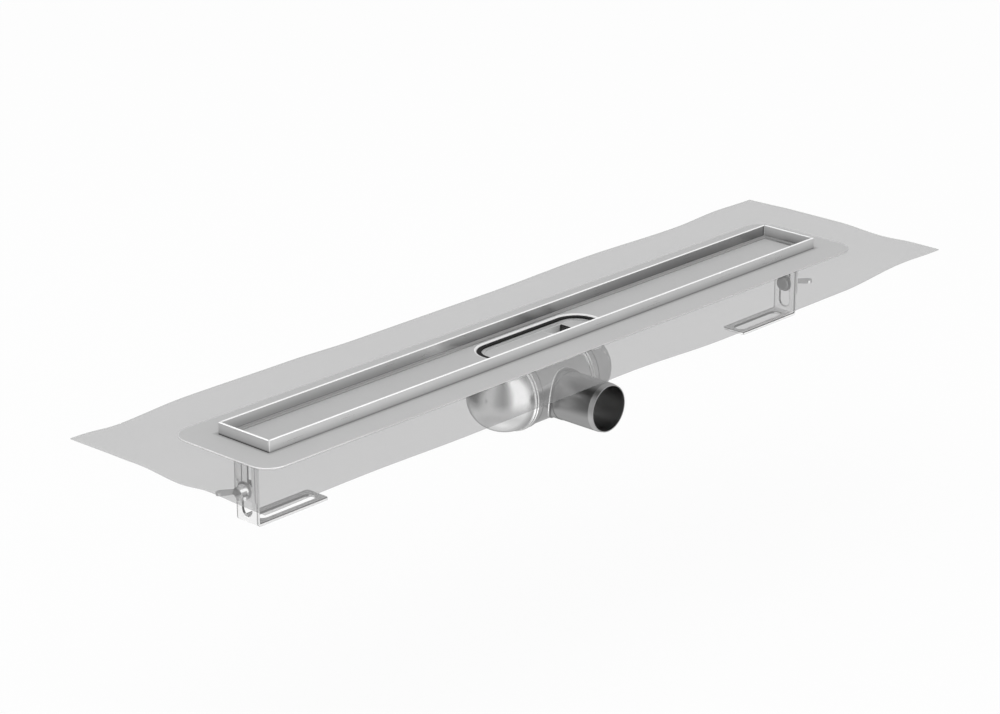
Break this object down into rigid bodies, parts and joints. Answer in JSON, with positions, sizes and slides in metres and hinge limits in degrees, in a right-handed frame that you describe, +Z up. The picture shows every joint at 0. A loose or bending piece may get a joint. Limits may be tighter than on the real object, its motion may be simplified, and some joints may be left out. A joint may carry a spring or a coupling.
{
  "type": "linear shower drain",
  "caption": "Long flat shower channel with a tiling frame, a flexible sealing sheet, a water trap with a side outlet and height-adjustable feet.",
  "frame": {"origin": "midway between the two feet and under the middle of the channel, on the level of the undersides of the feet", "axes": "+X along the channel, +Y away from the outlet pipe, which points along -Y, +Z up"},
  "size_m": [0.99, 0.26, 0.1014],
  "materials": {
    "membrane": "translucent, softly wavy",
    "channel_steel": "fine satin",
    "trap_steel": "smooth, bright",
    "insert_steel": "satin",
    "seal_rubber": "matt",
    "bracket_steel": "fine satin",
    "fastener_steel": "smooth"
  },
  "bodies": {
    "root": {"sealing_membrane": "membrane", "channel_tray": "channel_steel", "upstand_frame": "channel_steel", "outlet_collar": "trap_steel", "trap_tube": "trap_steel", "outlet_pipe": "trap_steel", "weir_plate": "trap_steel", "left_end_cap": "trap_steel", "right_end_cap": "trap_steel", "trap_insert_lid": "insert_steel", "dip_skirt": "insert_steel", "insert_seal": "seal_rubber", "left_hanger": "bracket_steel", "right_hanger": "bracket_steel", "left_bolt": "fastener_steel", "right_bolt": "fastener_steel", "left_inner_washer": "fastener_steel", "right_inner_washer": "fastener_steel", "left_outer_washer": "fastener_steel", "right_outer_washer": "fastener_steel"},
    "left_foot": {"left_foot": "bracket_steel"},
    "right_foot": {"right_foot": "bracket_steel"},
    "left_wing_nut": {"left_wing_nut": "fastener_steel"},
    "right_wing_nut": {"right_wing_nut": "fastener_steel"}
  },
  "joints": [
    {"name": "left_foot_slide", "type": "slide", "parent": "root", "child": "left_foot", "axis": [0, 0, -1], "range_m": [-0.0035, 0.025]},
    {"name": "right_foot_slide", "type": "slide", "parent": "root", "child": "right_foot", "axis": [0, 0, -1], "range_m": [-0.0035, 0.025]},
    {"name": "left_wing_nut_turn", "type": "hinge", "parent": "root", "child": "left_wing_nut", "pos_m": [-0.405, 0, 0.0335], "axis": [-1, 0, 0], "continuous": true},
    {"name": "right_wing_nut_turn", "type": "hinge", "parent": "root", "child": "right_wing_nut", "pos_m": [0.405, 0, 0.0335], "axis": [1, 0, 0], "continuous": true}
  ]
}
